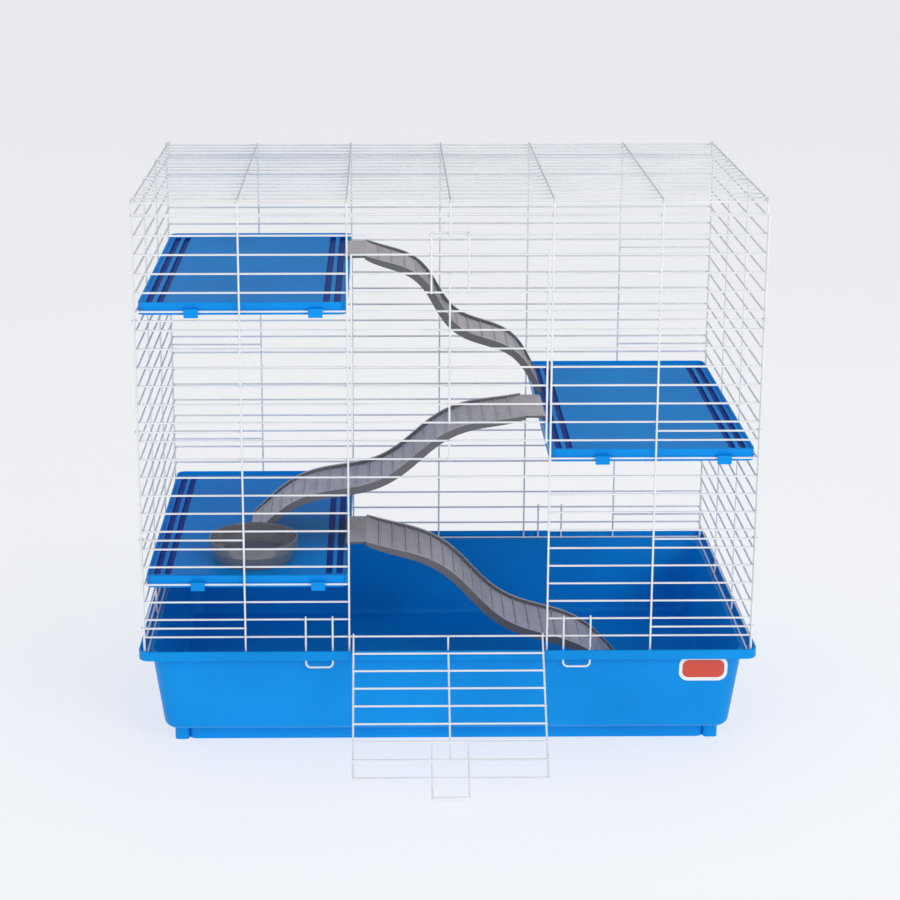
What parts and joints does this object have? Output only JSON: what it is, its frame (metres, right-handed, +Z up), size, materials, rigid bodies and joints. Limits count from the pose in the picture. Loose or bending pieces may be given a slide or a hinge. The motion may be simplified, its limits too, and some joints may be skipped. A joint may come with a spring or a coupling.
{
  "type": "hamster cage",
  "caption": "Wire hamster cage on a moulded plastic tub, with two hinged wire doors, plastic shelves linked by wavy ramps, and a round food dish.",
  "frame": {"origin": "middle of the tub's base, on the surface that the cage stands on", "axes": "+X along the cage's width to the right seen from the front, -Y out of the front with the doors, +Z up"},
  "size_m": [0.762, 0.5971, 0.7019],
  "materials": {
    "tub": "satin moulded blue plastic",
    "shelf": "satin moulded blue plastic",
    "ramp": "matte moulded grey plastic",
    "dish": "smooth dark grey plastic",
    "wire": "white powder coat on steel wire",
    "badge": "printed plastic sticker"
  },
  "bodies": {
    "cage": {"base_tub": "tub", "badge": "badge", "front_panel": "wire", "back_panel": "wire", "left_side_panel": "wire", "right_side_panel": "wire", "roof_panel": "wire", "front_left_corner_hooks": "wire", "front_right_corner_hooks": "wire", "back_left_corner_hooks": "wire", "back_right_corner_hooks": "wire", "front_left_base_clip": "wire", "front_right_base_clip": "wire", "back_left_base_clip": "wire", "back_right_base_clip": "wire", "upper_shelf": "shelf", "middle_shelf": "shelf", "lower_shelf": "shelf"},
    "lower_door": {"lower_door": "wire", "lower_door_latch": "wire"},
    "upper_door": {"upper_door": "wire", "upper_door_latch": "wire"},
    "upper_ramp": {"upper_ramp": "ramp"},
    "middle_ramp": {"middle_ramp": "ramp"},
    "lower_ramp": {"lower_ramp": "ramp"},
    "food_dish": {"food_dish": "dish"}
  },
  "joints": [
    {"name": "lower_door_hinge", "type": "hinge", "parent": "cage", "child": "lower_door", "pos_m": [0, -0.21858, 0.1543], "axis": [-1, 0, 0], "range_deg": [0, 135]},
    {"name": "upper_door_hinge", "type": "hinge", "parent": "cage", "child": "upper_door", "pos_m": [0, -0.21858, 0.4051], "axis": [1, 0, 0], "range_deg": [0, 155]},
    {"name": "upper_ramp_hinge", "type": "hinge", "parent": "cage", "child": "upper_ramp", "pos_m": [-0.12298, 0.09043, 0.5737], "axis": [0, -1, 0], "range_deg": [0, 35]},
    {"name": "middle_ramp_hinge", "type": "hinge", "parent": "cage", "child": "middle_ramp", "pos_m": [0.12298, -0.02779, 0.3913], "axis": [0, 1, 0], "range_deg": [0, 35]},
    {"name": "lower_ramp_hinge", "type": "hinge", "parent": "cage", "child": "lower_ramp", "pos_m": [-0.12298, -0.04997, 0.2317], "axis": [0, -1, 0], "range_deg": [0, 35]},
    {"name": "food_dish_lift", "type": "slide", "parent": "cage", "child": "food_dish", "axis": [0, 0, 1], "range_m": [0, 0.06]}
  ]
}
